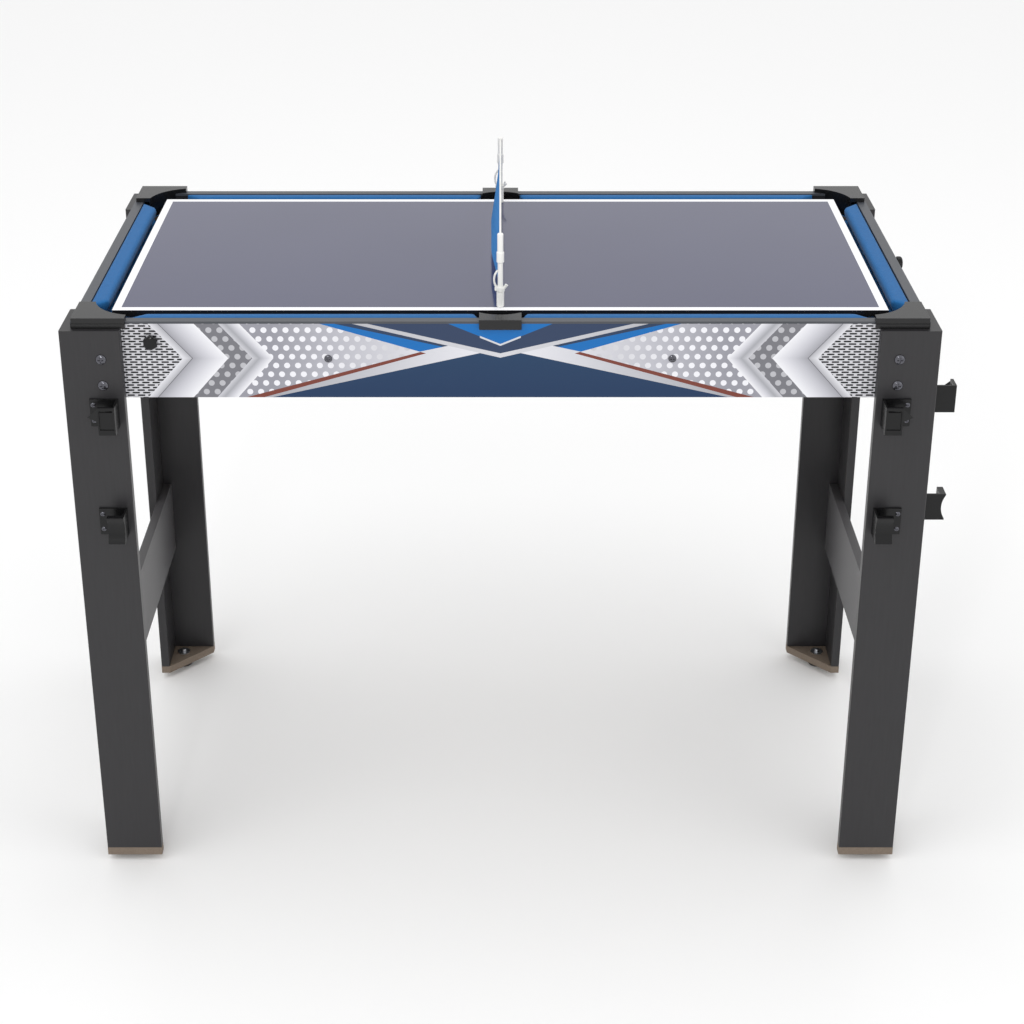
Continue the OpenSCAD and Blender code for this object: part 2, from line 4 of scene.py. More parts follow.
import bmesh
import bpy
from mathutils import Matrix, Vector


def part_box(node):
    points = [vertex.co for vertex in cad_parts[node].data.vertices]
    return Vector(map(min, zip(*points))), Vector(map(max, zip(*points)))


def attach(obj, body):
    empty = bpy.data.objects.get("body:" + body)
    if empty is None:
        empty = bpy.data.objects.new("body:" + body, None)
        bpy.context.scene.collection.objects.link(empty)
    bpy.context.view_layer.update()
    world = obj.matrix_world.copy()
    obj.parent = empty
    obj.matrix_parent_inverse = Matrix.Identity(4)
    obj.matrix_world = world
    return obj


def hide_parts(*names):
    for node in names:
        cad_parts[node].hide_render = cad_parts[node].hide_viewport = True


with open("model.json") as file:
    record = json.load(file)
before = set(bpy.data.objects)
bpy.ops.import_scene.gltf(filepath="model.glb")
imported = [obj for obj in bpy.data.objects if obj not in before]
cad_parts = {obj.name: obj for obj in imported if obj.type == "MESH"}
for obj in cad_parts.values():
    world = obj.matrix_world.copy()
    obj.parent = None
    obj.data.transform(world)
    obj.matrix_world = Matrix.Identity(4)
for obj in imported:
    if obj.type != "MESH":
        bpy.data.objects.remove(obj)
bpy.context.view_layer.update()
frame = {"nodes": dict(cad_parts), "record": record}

# ---- Camera, light and floor ----
# A long lens looks down on the front long side. The cabinet's middle lies a little off the
# origin, because the clips stand out at the front and on the right.
MIDDLE = (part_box("front_rail")[0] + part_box("back_rail")[1]) / 2
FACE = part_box("front_left_face_board")[0].y
CAMERA_BACK, CAMERA_HEIGHT, LOOK_DOWN = 2.285, 1.743, 23.2

camera = bpy.data.cameras.new("camera")
camera.sensor_width = 36
camera.lens = 68.6
camera.shift_x = 0.0114
camera.shift_y = -0.14
camera_object = bpy.data.objects.new("camera", camera)
camera_object.location = (MIDDLE.x, FACE - CAMERA_BACK, CAMERA_HEIGHT)
camera_object.rotation_euler = (math.radians(90 - LOOK_DOWN), 0, 0)
bpy.context.collection.objects.link(camera_object)
bpy.context.scene.camera = camera_object
bpy.context.scene.view_settings.view_transform = "Standard"


def linear(hex_colour):
    """An sRGB hex colour as the linear RGBA that a shader takes."""
    channels = [int(hex_colour[i:i + 2], 16) / 255 for i in (1, 3, 5)]
    return tuple(c / 12.92 if c <= 0.04045 else ((c + 0.055) / 1.055) ** 2.4
                 for c in channels) + (1.0,)


def new_material(name, colour="#808080", **sockets):
    """A material with one shader; sockets are the shader's plain values."""
    material = bpy.data.materials.new(name)
    material.use_nodes = True
    tree = material.node_tree
    shader = tree.nodes["Principled BSDF"]
    shader.inputs["Base Color"].default_value = linear(colour)
    for socket, value in sockets.items():
        shader.inputs[socket.replace("_", " ")].default_value = value
    return material, tree, shader


world = bpy.data.worlds.new("studio")
bpy.context.scene.world = world
world.use_nodes = True
world.node_tree.nodes["Background"].inputs["Color"].default_value = (1, 1, 1, 1)
world.node_tree.nodes["Background"].inputs["Strength"].default_value = 1.0


def soft_light(name, place, target, size, watts):
    """A square lamp at a place, turned towards its target."""
    light = bpy.data.lights.new(name, "AREA")
    light.size, light.energy = size, watts
    lamp = bpy.data.objects.new(name, light)
    lamp.location = place
    lamp.rotation_euler = (Vector(target) - Vector(place)).to_track_quat("-Z", "Y").to_euler()
    bpy.context.collection.objects.link(lamp)


soft_light("key", (-1.4, -1.6, 3.6), (0, 0, 0.7), 2.2, 18)
soft_light("fill", (2.6, -1.6, 1.8), (0, 0, 0.6), 2.0, 6)
soft_light("top", (0.3, 1.0, 4.0), (0, 0, 0.8), 2.4, 12)
soft_light("glint", (-0.6, -3.2, 2.4), (0, 0, 0.7), 0.25, 12)

bpy.ops.object.select_all(action="DESELECT")
bpy.ops.mesh.primitive_plane_add(size=60, location=(0, 0, 0))
floor = bpy.context.object
floor.name = "studio_floor"
floor.data.materials.append(
    new_material("white studio floor, matt", "#f4f4f4", Roughness=0.9)[0])

# ---- Cabinet walls ----
# Four MDF boards with a glossy foil printed on their outer faces: chevrons that point
# to the middle, slotted and dotted fields between them, and a shallow V of coloured bands.
NAVY, NAVY_LOW, BLUE = "#2b3b58", "#193859", "#0566ae"
SILVER, PALE, RUST = "#b7b8be", "#d6d6dc", "#743a2f"
PLAIN_FOIL = "#2a2a2c"
APRON_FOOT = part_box("front_apron")[0].z * 1000
POINT_HEIGHT = APRON_FOOT + 54.5
CHEVRON_SLOPE = 0.87


def add_node(tree, kind, inputs=None, **settings):
    """One shader node with its settings; each input gets a link or a plain value."""
    node = tree.nodes.new(kind)
    for name, value in settings.items():
        setattr(node, name, value)
    for name, value in (inputs or {}).items():
        if isinstance(value, bpy.types.NodeSocket):
            tree.links.new(value, node.inputs[name])
        else:
            node.inputs[name].default_value = value
    return node


def finish_with(material, slot, *names):
    """Gives CAD nodes or new pieces a material; the slot argument is not used."""
    for name in names:
        piece = frame["nodes"].get(name) or bpy.data.objects[name]
        piece.data.materials.clear()
        piece.data.materials.append(material)


def printed_foil(name, axis, middle, offset, across, centre, face):
    """The print, as bands of the distance from the board's middle and of the height, in mm."""
    material, tree, shader = new_material(
        name, Roughness=0.2, Specular_IOR_Level=0.32)
    place = add_node(tree, "ShaderNodeSeparateXYZ", {
        0: add_node(tree, "ShaderNodeTexCoord").outputs["Object"]})
    height = add_node(tree, "ShaderNodeMath", {0: place.outputs["Z"], 1: 1000.0},
                      operation="MULTIPLY").outputs[0]
    shifted = add_node(tree, "ShaderNodeMath", {0: place.outputs[axis], 1: 1000.0,
                                                2: -1000.0 * middle},
                       operation="MULTIPLY_ADD").outputs[0]
    away = add_node(tree, "ShaderNodeMath", {
        0: add_node(tree, "ShaderNodeMath", {0: shifted}, operation="ABSOLUTE").outputs[0],
        1: offset}, operation="ADD").outputs[0]
    rise = add_node(tree, "ShaderNodeMath", {0: height, 1: POINT_HEIGHT},
                    operation="SUBTRACT").outputs[0]
    steep = add_node(tree, "ShaderNodeMath", {0: rise}, operation="ABSOLUTE").outputs[0]
    chevron = add_node(tree, "ShaderNodeMath", {0: steep, 1: -CHEVRON_SLOPE, 2: away},
                       operation="MULTIPLY_ADD").outputs[0]

    def above(level, slope):
        """How far a point is above the slanting line, which starts at the middle."""
        line = add_node(tree, "ShaderNodeMath", {0: away, 1: slope, 2: level + APRON_FOOT},
                        operation="MULTIPLY_ADD").outputs[0]
        return add_node(tree, "ShaderNodeMath", {0: height, 1: line},
                        operation="SUBTRACT").outputs[0]

    def below(level, slope):
        """How far a point is below the slanting line."""
        return add_node(tree, "ShaderNodeMath", {0: above(level, slope), 1: -1.0},
                        operation="MULTIPLY").outputs[0]

    def within(value, low, high):
        """1 where the value lies between the two limits."""
        half = (high - low) / 2
        return add_node(tree, "ShaderNodeMath", {0: value, 1: (low + high) / 2, 2: half},
                        operation="COMPARE").outputs[0]

    def all_of(*distances):
        """1 where every distance is above nothing."""
        nearest = distances[0]
        for distance in distances[1:]:
            nearest = add_node(tree, "ShaderNodeMath", {0: nearest, 1: distance},
                               operation="MINIMUM").outputs[0]
        return add_node(tree, "ShaderNodeMath", {0: nearest, 1: 0.0},
                        operation="GREATER_THAN").outputs[0]

    def only_on(mask, pattern):
        """The pattern where the mask is 1, and nothing elsewhere."""
        return add_node(tree, "ShaderNodeMath", {0: mask, 1: pattern},
                        operation="MULTIPLY").outputs[0]

    def spots(pitch, row, half_length, radius):
        """1 inside round-ended spots on staggered rows."""
        line = add_node(tree, "ShaderNodeMath", {0: height, 1: 1 / row},
                        operation="MULTIPLY").outputs[0]
        number = add_node(tree, "ShaderNodeMath", {0: line}, operation="FLOOR").outputs[0]
        odd = add_node(tree, "ShaderNodeMath", {0: number, 1: 2.0},
                       operation="FLOORED_MODULO").outputs[0]
        along = add_node(tree, "ShaderNodeMath", {
            0: away, 1: 1 / pitch, 2: add_node(tree, "ShaderNodeMath", {0: odd, 1: 0.5},
                                               operation="MULTIPLY").outputs[0]},
            operation="MULTIPLY_ADD").outputs[0]
        sides = []
        for value, step in ((along, pitch), (line, row)):
            part = add_node(tree, "ShaderNodeMath", {0: value}, operation="FRACT").outputs[0]
            sides.append(add_node(tree, "ShaderNodeMath", {0: part, 1: step, 2: -step / 2},
                                  operation="MULTIPLY_ADD").outputs[0])
        reach = add_node(tree, "ShaderNodeMath", {0: sides[0]}, operation="ABSOLUTE").outputs[0]
        reach = add_node(tree, "ShaderNodeMath", {0: reach, 1: half_length},
                         operation="SUBTRACT").outputs[0]
        reach = add_node(tree, "ShaderNodeMath", {0: reach, 1: 0.0},
                         operation="MAXIMUM").outputs[0]
        corner = add_node(tree, "ShaderNodeCombineXYZ", {0: reach, 1: sides[1]}).outputs[0]
        far = add_node(tree, "ShaderNodeVectorMath", {0: corner},
                       operation="LENGTH").outputs["Value"]
        return add_node(tree, "ShaderNodeMath", {0: far, 1: radius},
                        operation="LESS_THAN").outputs[0]

    def shade(value, low, high, *stops):
        """A colour that runs through the stops as the value goes from low to high."""
        place_on = add_node(tree, "ShaderNodeMapRange", {
            "Value": value, "From Min": low, "From Max": high}).outputs[0]
        band = add_node(tree, "ShaderNodeValToRGB", {0: place_on})
        points = band.color_ramp.elements
        for number in range(1, len(stops) - 1):
            points.new(number / (len(stops) - 1))
        for point, stop in zip(points, stops):
            point.color = linear(stop)
        return band.outputs[0]

    # Dots and slots are at their real size, in mm: pitch, row spacing, half length and radius.
    dots = spots(14.0, 12.2, 0.0, 3.9)
    slots = spots(13.4, 3.56, 3.7, 1.15)
    # A slanting line is its height over the board's foot at the middle, in mm, and its slope.
    V_LOW, V_HIGH = (55.3, 0.2476), (61.3, 0.241)
    BLUE_LOW, BLUE_HIGH = (32.5, 0.3026), (53.5, 0.230)
    SILVER_FOOT, DEEP_FOOT = (67.7, -0.2304), (86.8, -0.2256)
    RUST_HIGH, RUST_LOW = (91.9, -0.281), (89.0, -0.2923)
    TIP_LOW, TIP_FOOT, TIP_HIGH, TIP_HALF = (71.6, 0.43), (73.5, 0.43), (74.2, 0.43), 26.0
    # A chevron's band starts where its point is, in mm from the middle.
    FIRST, DOTTED, SECOND = 290.1, 317.1, 347.7
    SHADOW_LINE, PALE_LINE, SLOTTED, FAR = 392.8, 394.0, 406.0, 900.0
    LEG_EDGE = 482.3
    dotted_field = all_of(above(*RUST_HIGH), below(*BLUE_LOW))
    dotted_band = within(chevron, DOTTED, SECOND)
    slotted_field = within(chevron, SLOTTED, FAR)
    layers = [
        (None, shade(height, APRON_FOOT, APRON_FOOT + 60, "#123054", NAVY_LOW)),
        (all_of(above(*V_HIGH)), linear(NAVY)),
        (all_of(below(*V_LOW), above(*SILVER_FOOT)),
         shade(away, 40, 290, PALE, SILVER, "#a0a1a8")),
        (all_of(below(*V_LOW), above(*DEEP_FOOT)), linear("#263955")),
        (all_of(below(*RUST_HIGH), above(*RUST_LOW), below(*BLUE_LOW)), linear(RUST)),
        (dotted_field, shade(away, 110, 290, "#cdcdd3", "#b3b3bb", "#91919a")),
        (only_on(dotted_field, dots), shade(away, 110, 230, "#bababf", "#e4e4e9")),
        (all_of(above(*BLUE_LOW), below(*BLUE_HIGH), above(*DEEP_FOOT)), linear(BLUE)),
        (all_of(above(*V_LOW), below(*V_HIGH)), shade(away, 0, 190, "#cacacf", "#adaeb4")),
        (all_of(above(*TIP_FOOT)), linear(BLUE)),
        (all_of(above(*TIP_LOW), below(*TIP_HIGH),
                add_node(tree, "ShaderNodeMath", {0: TIP_HALF, 1: away},
                         operation="SUBTRACT").outputs[0]), linear("#cbccd1")),
        (within(chevron, FIRST, DOTTED),
         shade(chevron, FIRST, DOTTED, "#e4e4e8", "#c6c6cd", "#9fa0a6", "#c2c2c8")),
        (dotted_band, linear("#737379")),
        (only_on(dotted_band, dots), linear("#b3b3b8")),
        (within(chevron, SECOND, SHADOW_LINE),
         shade(chevron, SECOND, SHADOW_LINE, "#e6e6ea", "#d2d2d8", "#bbbbc2", "#9b9ba2")),
        (within(chevron, SHADOW_LINE, PALE_LINE), linear("#6b6b70")),
        (within(chevron, PALE_LINE, SLOTTED),
         shade(chevron, PALE_LINE, SLOTTED, "#a9a9af", "#d8d8dd")),
        (slotted_field, linear("#c8c8cd")),
        (only_on(slotted_field, slots), linear("#17171a")),
        (within(away, LEG_EDGE, FAR), linear(PLAIN_FOIL)),
    ]
    colour = layers[0][1]
    for mask, paint in layers[1:]:
        colour = add_node(tree, "ShaderNodeMix", {"Factor": mask, 6: colour, 7: paint},
                          data_type="RGBA").outputs[2]
    # Only the outer face is printed; the foil behind it is plain dark grey.
    FOIL_TURN = 0.003
    depth = add_node(tree, "ShaderNodeMath", {0: place.outputs[across], 1: centre},
                     operation="SUBTRACT").outputs[0]
    depth = add_node(tree, "ShaderNodeMath", {0: depth}, operation="ABSOLUTE").outputs[0]
    outer = add_node(tree, "ShaderNodeMath", {0: depth, 1: face - FOIL_TURN},
                     operation="GREATER_THAN").outputs[0]
    colour = add_node(tree, "ShaderNodeMix", {"Factor": outer, 6: linear(PLAIN_FOIL), 7: colour},
                      data_type="RGBA").outputs[2]
    tree.links.new(colour, shader.inputs["Base Color"])
    # Rolled-on foil follows the board under it, so the gloss is faintly uneven over about
    # 15 mm.
    wave = add_node(tree, "ShaderNodeTexNoise", {
        "Vector": add_node(tree, "ShaderNodeTexCoord").outputs["Object"],
        "Scale": 60.0, "Detail": 3.0})
    bump = add_node(tree, "ShaderNodeBump", {
        "Strength": 0.05, "Distance": 0.0006, "Height": wave.outputs[0]})
    tree.links.new(bump.outputs[0], shader.inputs["Normal"])
    return material


finish_with(printed_foil("printed foil on MDF, long board", "X", MIDDLE.x, 0.0,
                         "Y", MIDDLE.y, MIDDLE.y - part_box("front_apron")[0].y),
            "printed_board", "front_apron", "back_apron")
END_OFFSET = 1000 * (MIDDLE.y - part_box("front_left_face_board")[0].y)
finish_with(printed_foil("printed foil on MDF, end board", "Y", MIDDLE.y, END_OFFSET,
                         "X", MIDDLE.x, MIDDLE.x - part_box("left_apron")[0].x),
            "printed_board", "left_apron", "right_apron")

# ---- Rails ----
# Thin strips of MDF lie on top of the walls, from cap to cap. They are wrapped in a satin grey
# foil, which has a soft sheen, a grain of about 1 mm and broad, faint changes of tone.
rail_foil, tree, shader = new_material("satin grey foil on MDF", Roughness=0.42)
spot = add_node(tree, "ShaderNodeTexCoord").outputs["Object"]
mottle = add_node(tree, "ShaderNodeTexNoise", {"Vector": spot, "Scale": 7.0, "Detail": 4.0})
tone = add_node(tree, "ShaderNodeMix", {
    "Factor": mottle.outputs[0], 6: linear("#3b3e44"), 7: linear("#46494f")},
    data_type="RGBA").outputs[2]
tree.links.new(tone, shader.inputs["Base Color"])
grain = add_node(tree, "ShaderNodeTexNoise", {"Vector": spot, "Scale": 900.0, "Detail": 2.0})
bump = add_node(tree, "ShaderNodeBump", {
    "Strength": 0.12, "Distance": 0.0003, "Height": grain.outputs[0]})
tree.links.new(bump.outputs[0], shader.inputs["Normal"])
finish_with(rail_foil, "rail", "front_rail", "back_rail", "left_rail", "right_rail")

# ---- Bed, ledges and pocket cups ----
# The bed is raw MDF with blue cloth glued on, carried by softwood ledges. Plain black moulded
# cups hang under its openings. Raw MDF has no gloss: it shows short fibres about 2 mm long, and
# patches 30 mm across where it took the glue.
raw_mdf, tree, shader = new_material("raw MDF, sawn and sanded", Roughness=0.85)
spot = add_node(tree, "ShaderNodeTexCoord").outputs["Object"]
fibres = add_node(tree, "ShaderNodeTexNoise", {"Vector": spot, "Scale": 420.0, "Detail": 5.0})
patches = add_node(tree, "ShaderNodeTexNoise", {"Vector": spot, "Scale": 35.0, "Detail": 3.0})
tone = add_node(tree, "ShaderNodeMix", {
    "Factor": fibres.outputs[0], 6: linear("#61564b"), 7: linear("#8e8072")},
    data_type="RGBA").outputs[2]
tone = add_node(tree, "ShaderNodeMix", {
    "Factor": patches.outputs[0], 6: tone, 7: linear("#74675a")}, data_type="RGBA").outputs[2]
tree.links.new(tone, shader.inputs["Base Color"])
bump = add_node(tree, "ShaderNodeBump", {
    "Strength": 0.4, "Distance": 0.0004, "Height": fibres.outputs[0]})
tree.links.new(bump.outputs[0], shader.inputs["Normal"])
finish_with(raw_mdf, "bare_board", "bed", "front_left_foot_plate", "front_right_foot_plate",
            "back_left_foot_plate", "back_right_foot_plate")


def billiard_cloth(name, worn, deep):
    """Napped wool and nylon cloth: a tight weave that only shows as a soft grain."""
    material, tree, shader = new_material(
        name, Roughness=0.95, Sheen_Weight=0.12, Sheen_Roughness=0.4,
        Specular_IOR_Level=0.3)
    spot = add_node(tree, "ShaderNodeTexCoord").outputs["Object"]
    nap = add_node(tree, "ShaderNodeTexNoise", {"Vector": spot, "Scale": 240.0, "Detail": 6.0,
                                                "Roughness": 0.65})
    # Threads are drawn 2 mm apart, some four times their real spacing, so that they show.
    across = add_node(tree, "ShaderNodeTexWave", {"Vector": spot, "Scale": 160.0,
                                                  "Distortion": 1.5}, bands_direction="X")
    along = add_node(tree, "ShaderNodeTexWave", {"Vector": spot, "Scale": 160.0,
                                                 "Distortion": 1.5}, bands_direction="Y")
    weave = add_node(tree, "ShaderNodeMath", {0: across.outputs[1], 1: along.outputs[1]},
                     operation="MULTIPLY").outputs[0]
    tone = add_node(tree, "ShaderNodeMix", {
        "Factor": nap.outputs[0], 6: linear(deep), 7: linear(worn)}, data_type="RGBA").outputs[2]
    tree.links.new(tone, shader.inputs["Base Color"])
    rough = add_node(tree, "ShaderNodeMath", {0: weave, 1: nap.outputs[0]},
                     operation="ADD").outputs[0]
    bump = add_node(tree, "ShaderNodeBump", {
        "Strength": 0.35, "Distance": 0.0005, "Height": rough})
    tree.links.new(bump.outputs[0], shader.inputs["Normal"])
    return material


finish_with(billiard_cloth("blue billiard cloth on the bed", "#2f7ab8", "#1c5a94"),
            "bed_cloth", "bed_cloth")

# Planed pine has growth rings some 5 mm apart, which are drawn out along the boards.
softwood, tree, shader = new_material("planed pine", Roughness=0.6)
spot = add_node(tree, "ShaderNodeTexCoord").outputs["Object"]
stretched = add_node(tree, "ShaderNodeMapping", {0: spot, "Scale": (0.15, 0.15, 1.0)})
rings = add_node(tree, "ShaderNodeTexNoise", {
    "Vector": stretched.outputs[0], "Scale": 180.0, "Detail": 3.0, "Distortion": 0.6})
tone = add_node(tree, "ShaderNodeMix", {
    "Factor": rings.outputs[0], 6: linear("#d3b281"), 7: linear("#a97f4c")},
    data_type="RGBA").outputs[2]
tree.links.new(tone, shader.inputs["Base Color"])
finish_with(softwood, "softwood", "bed_ledges", "board_blocks")


def moulded_plastic(name, dark, light, roughness, grit, gloss=0.5):
    """Moulded plastic or rubber: faint flow marks, and a spark-eroded grain.

    The grain is drawn 1 to 2 mm coarse so that it shows; the real one is about 0.1 mm.
    """
    material, tree, shader = new_material(name, Roughness=roughness, Specular_IOR_Level=gloss)
    spot = add_node(tree, "ShaderNodeTexCoord").outputs["Object"]
    grain = add_node(tree, "ShaderNodeTexNoise", {"Vector": spot, "Scale": grit, "Detail": 3.0})
    flow = add_node(tree, "ShaderNodeTexNoise", {"Vector": spot, "Scale": 30.0, "Detail": 2.0})
    tone = add_node(tree, "ShaderNodeMix", {
        "Factor": flow.outputs[0], 6: linear(dark), 7: linear(light)},
        data_type="RGBA").outputs[2]
    tree.links.new(tone, shader.inputs["Base Color"])
    bump = add_node(tree, "ShaderNodeBump", {
        "Strength": 0.25, "Distance": 0.0003, "Height": grain.outputs[0]})
    tree.links.new(bump.outputs[0], shader.inputs["Normal"])
    return material


cup_plastic = moulded_plastic("black polypropylene, moulded", "#0c0c0d", "#131315", 0.5, 700.0)
finish_with(cup_plastic, "cup_plastic", "corner_pocket_cups", "side_pocket_cups")

# ---- Legs ----
# Each leg is two MDF boards in an L, wrapped in a charcoal foil with a fine embossed grain
# that runs up the board. A stretcher board of the same stuff joins the legs at each end; its
# colour is painted lighter than the legs', a painted sheen.
LEG_NAMES = [f"{depth}_{side}" for depth in ("front", "back") for side in ("left", "right")]


def leg_foil(name, dark, light, flow):
    """Embossed foil: a grain 4 mm wide, drawn out along the board, and a drifting gloss."""
    material, tree, shader = new_material(name, Specular_IOR_Level=0.42)
    spot = add_node(tree, "ShaderNodeTexCoord").outputs["Object"]
    drawn = add_node(tree, "ShaderNodeMapping", {0: spot, "Scale": flow})
    grain = add_node(tree, "ShaderNodeTexNoise", {
        "Vector": drawn.outputs[0], "Scale": 260.0, "Detail": 5.0, "Roughness": 0.6})
    broad = add_node(tree, "ShaderNodeTexNoise", {"Vector": spot, "Scale": 3.0, "Detail": 3.0})
    tone = add_node(tree, "ShaderNodeMix", {
        "Factor": grain.outputs[0], 6: linear(dark), 7: linear(light)},
        data_type="RGBA").outputs[2]
    tree.links.new(tone, shader.inputs["Base Color"])
    gloss = add_node(tree, "ShaderNodeMapRange", {
        "Value": broad.outputs[0], "To Min": 0.34, "To Max": 0.46}).outputs[0]
    tree.links.new(gloss, shader.inputs["Roughness"])
    bump = add_node(tree, "ShaderNodeBump", {
        "Strength": 0.2, "Distance": 0.0004, "Height": grain.outputs[0]})
    tree.links.new(bump.outputs[0], shader.inputs["Normal"])
    return material


finish_with(leg_foil("charcoal foil on MDF, upright grain", "#232224", "#2c2b2d",
                     (1.0, 1.0, 0.08)), "leg_board",
            *[f"{leg}_{part}_board" for leg in LEG_NAMES for part in ("face", "side")])
# The stretchers' lighter colours are a painted sheen on the same charcoal foil as the legs.
finish_with(leg_foil("charcoal foil on MDF, level grain", "#454446", "#4f4e50",
                     (1.0, 0.08, 1.0)), "leg_board", "left_stretcher", "right_stretcher")

# ---- Washers, nuts, tee nuts and wood screws ----
# Pressed and turned steel fittings. Washers, nuts and tee nuts are plated with bright zinc,
# whose crystals, drawn 3 mm across so that they show, break up the gloss.
zinc, tree, shader = new_material("zinc-plated steel", "#b9bbbe", Metallic=1.0)
spot = add_node(tree, "ShaderNodeTexCoord").outputs["Object"]
spangle = add_node(tree, "ShaderNodeTexNoise", {"Vector": spot, "Scale": 300.0, "Detail": 3.0})
gloss = add_node(tree, "ShaderNodeMapRange", {
    "Value": spangle.outputs[0], "To Min": 0.22, "To Max": 0.42}).outputs[0]
tree.links.new(gloss, shader.inputs["Roughness"])
finish_with(zinc, "zinc_steel", "tee_nuts", "leg_washers", "leg_nuts")

# The screws are blackened and oiled: dark metal with sharp highlights and 2 mm scuffs.
black_steel, tree, shader = new_material("steel, black oxide and oil", "#5e5e64", Metallic=0.9)
spot = add_node(tree, "ShaderNodeTexCoord").outputs["Object"]
scuff = add_node(tree, "ShaderNodeTexNoise", {"Vector": spot, "Scale": 500.0, "Detail": 4.0})
gloss = add_node(tree, "ShaderNodeMapRange", {
    "Value": scuff.outputs[0], "To Min": 0.10, "To Max": 0.22}).outputs[0]
tree.links.new(gloss, shader.inputs["Roughness"])
finish_with(black_steel, "black_steel", "wood_screws")

# ---- Caps, clips and knobs ----
# All are moulded in black plastic with a small radius on every edge. Each is a merged copy of
# its CAD part with those edges rounded; the caps' lips also get their moulded groove.


def merged_copy(node, name):
    """A copy of a CAD part with its doubles merged and its flat faces whole."""
    piece = bpy.data.objects.new(name, frame["nodes"][node].data.copy())
    bpy.context.collection.objects.link(piece)
    edit(piece)
    bpy.ops.mesh.select_all(action="SELECT")
    bpy.ops.mesh.remove_doubles(threshold=0.00001)
    bpy.ops.mesh.dissolve_limited(angle_limit=math.radians(0.5))
    bpy.ops.mesh.normals_make_consistent(inside=False)
    bpy.ops.object.mode_set(mode="OBJECT")
    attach(piece, BODY_OF[node])
    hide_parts(node)
    return piece


def select_only(piece):
    """Makes one piece active and selected, and nothing else."""
    bpy.ops.object.select_all(action="DESELECT")
    bpy.context.view_layer.objects.active = piece
    piece.select_set(True)


def edit(piece):
    """Opens one piece in edit mode, with everything else deselected."""
    select_only(piece)
    bpy.ops.object.mode_set(mode="EDIT")


def pick_faces(piece, wanted):
    """Selects in edit mode the faces whose centre is wanted."""
    bpy.ops.mesh.select_all(action="DESELECT")
    bpy.ops.mesh.select_mode(type="FACE")
    mesh = bmesh.from_edit_mesh(piece.data)
    for face in mesh.faces:
        face.select = wanted(face.calc_center_median())
    mesh.select_flush_mode()
    bmesh.update_edit_mesh(piece.data)


def round_edges(piece, width, segments=2):
    """Rounds the sharp edges with a bevel, then smooths the gentle ones."""
    select_only(piece)
    bevel = piece.modifiers.new("edge_radius", "BEVEL")
    bevel.width, bevel.segments = width, segments
    bevel.limit_method, bevel.angle_limit = "ANGLE", math.radians(35)
    bpy.ops.object.modifier_apply(modifier=bevel.name)
    bpy.ops.object.shade_smooth_by_angle(angle=math.radians(40))
    flat = piece.modifiers.new("flat_faces_stay_flat", "WEIGHTED_NORMAL")
    flat.keep_sharp = True
    bpy.ops.object.modifier_apply(modifier=flat.name)


BODY_OF = {node: body for body, nodes in frame["record"]["behaviour"]["bodies"].items()
           for node in nodes}
cap_plastic = moulded_plastic("black ABS, moulded satin", "#0f0f10", "#171718", 0.26, 900.0,
                              0.42)
LEG_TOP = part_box("front_left_face_board")[1].z
GROOVE_FOOT, GROOVE_HEIGHT, GROOVE_DEPTH = LEG_TOP + 0.0065, 0.0012, 0.001
for cap in ("front_left_cap", "front_right_cap", "back_left_cap", "back_right_cap",
            "front_side_cap", "back_side_cap"):
    moulding = merged_copy(cap, "moulded_" + cap)
    if "side" not in cap:
        outward = -1 if cap.startswith("front") else 1
        lip_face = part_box(cap)[0 if outward < 0 else 1].y
        edit(moulding)
        for level in (GROOVE_FOOT, GROOVE_FOOT + GROOVE_HEIGHT):
            bpy.ops.mesh.select_all(action="SELECT")
            bpy.ops.mesh.bisect(plane_co=(0, 0, level), plane_no=(0, 0, 1))
        pick_faces(moulding, lambda centre: abs(centre.y - lip_face) < 0.0002
                   and GROOVE_FOOT < centre.z < GROOVE_FOOT + GROOVE_HEIGHT)
        bpy.ops.mesh.extrude_region_move(
            TRANSFORM_OT_translate={"value": (0, -outward * GROOVE_DEPTH, 0)})
        bpy.ops.object.mode_set(mode="OBJECT")
    round_edges(moulding, 0.0006)
    finish_with(cap_plastic, "cap_plastic", moulding.name)

clip_plastic = moulded_plastic("black nylon, moulded", "#0a0a0b", "#121213", 0.26, 800.0, 0.3)
for clips in ("front_clips", "end_clips"):
    moulding = merged_copy(clips, "moulded_" + clips)
    round_edges(moulding, 0.0005)
    finish_with(clip_plastic, "clip_plastic", moulding.name)

knob_plastic = moulded_plastic("black phenolic, moulded glossy", "#060607", "#0c0c0d", 0.2, 900.0,
                               0.3)
for knob in ("front_knob", "end_knob"):
    moulding = merged_copy(knob, "moulded_" + knob)
    round_edges(moulding, 0.0004)
    finish_with(knob_plastic, "knob_plastic", moulding.name)

# ---- Levelling feet ----
# A moulded rubber pad on a bright zinc-plated stem, which screws into the tee nut in the foot
# plate. The stem starts inside the pad, 2 mm under the plate.
STEM_START = 0.002
foot_rubber = moulded_plastic("black rubber, moulded", "#151516", "#1f1f20", 0.7, 500.0)
for leg in LEG_NAMES:
    foot = merged_copy(leg + "_foot", leg + "_levelling_foot")
    round_edges(foot, 0.0005)
    finish_with(foot_rubber, "foot_rubber", foot.name)
    foot.data.materials.append(zinc)
    pad_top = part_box(leg + "_foot_plate")[0].z - STEM_START
    for face in foot.data.polygons:
        face.material_index = int(face.center.z > pad_top)

# ---- Bolts and screws ----
# Dome-headed machine bolts and screws with a cross recess, pressed out of steel and blackened.
# One of each size is made, and copied to its places.


